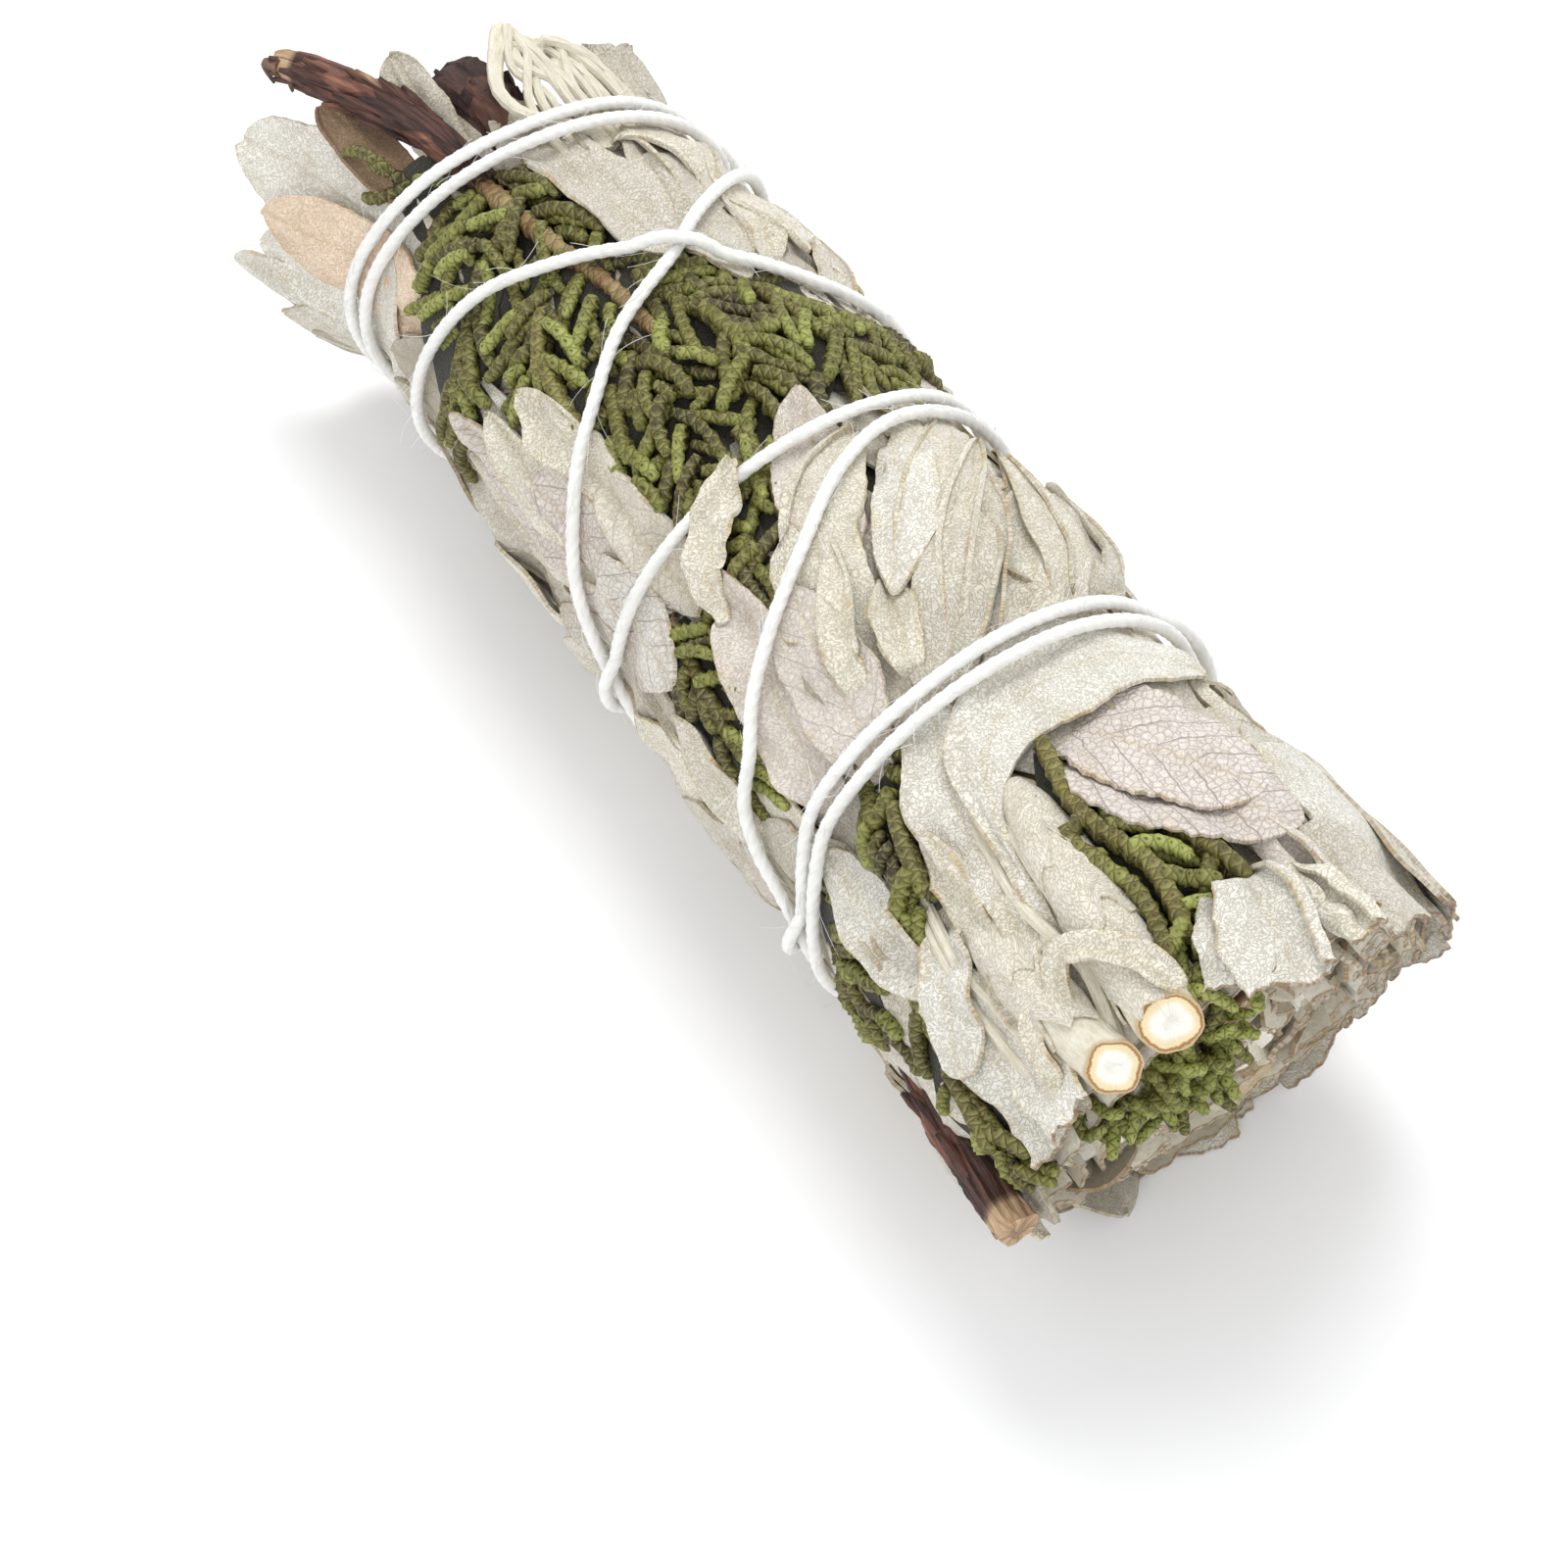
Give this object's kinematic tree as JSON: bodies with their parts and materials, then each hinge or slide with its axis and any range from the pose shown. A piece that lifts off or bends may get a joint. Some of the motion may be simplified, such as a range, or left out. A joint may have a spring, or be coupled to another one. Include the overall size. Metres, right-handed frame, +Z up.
{
  "type": "herb smudge stick",
  "caption": "Dried white sage and juniper sprigs laid side by side and bound into a round stick with cotton twine",
  "frame": {"origin": "on the flat underside that the stick rests on, below its axis and near the middle of its length", "axes": "+X along the stick towards the cut stems, +Z up, +Y to the side with the knot"},
  "size_m": [0.1482, 0.05, 0.0451],
  "materials": {
    "sage_leaf": "felted, pale grey-beige, very matte",
    "sage_stem": "dry, cream, with a paler cut face",
    "juniper_bark": "red-brown peeling bark",
    "juniper_green": "dry olive green scales, slightly waxy",
    "cotton_twine": "white, twisted, fuzzy"
  },
  "bodies": {
    "root": {"sage_leaves": "sage_leaf", "sage_stem_1": "sage_stem", "sage_stem_2": "sage_stem", "sage_stem_3": "sage_stem", "sage_stem_4": "sage_stem", "sage_stem_5": "sage_stem", "sage_stem_6": "sage_stem", "sage_stem_7": "sage_stem", "juniper_twig_1": "juniper_bark", "juniper_twig_2": "juniper_bark", "juniper_twig_3": "juniper_bark", "juniper_twig_4": "juniper_bark", "juniper_spray_main": "juniper_green", "juniper_spray_right": "juniper_green", "juniper_spray_left": "juniper_green", "juniper_spray_middle": "juniper_green", "juniper_spray_edge": "juniper_green", "juniper_spray_cut_end": "juniper_green", "juniper_spray_stem_side": "juniper_green", "cotton_twine": "cotton_twine"}
  },
  "joints": []
}
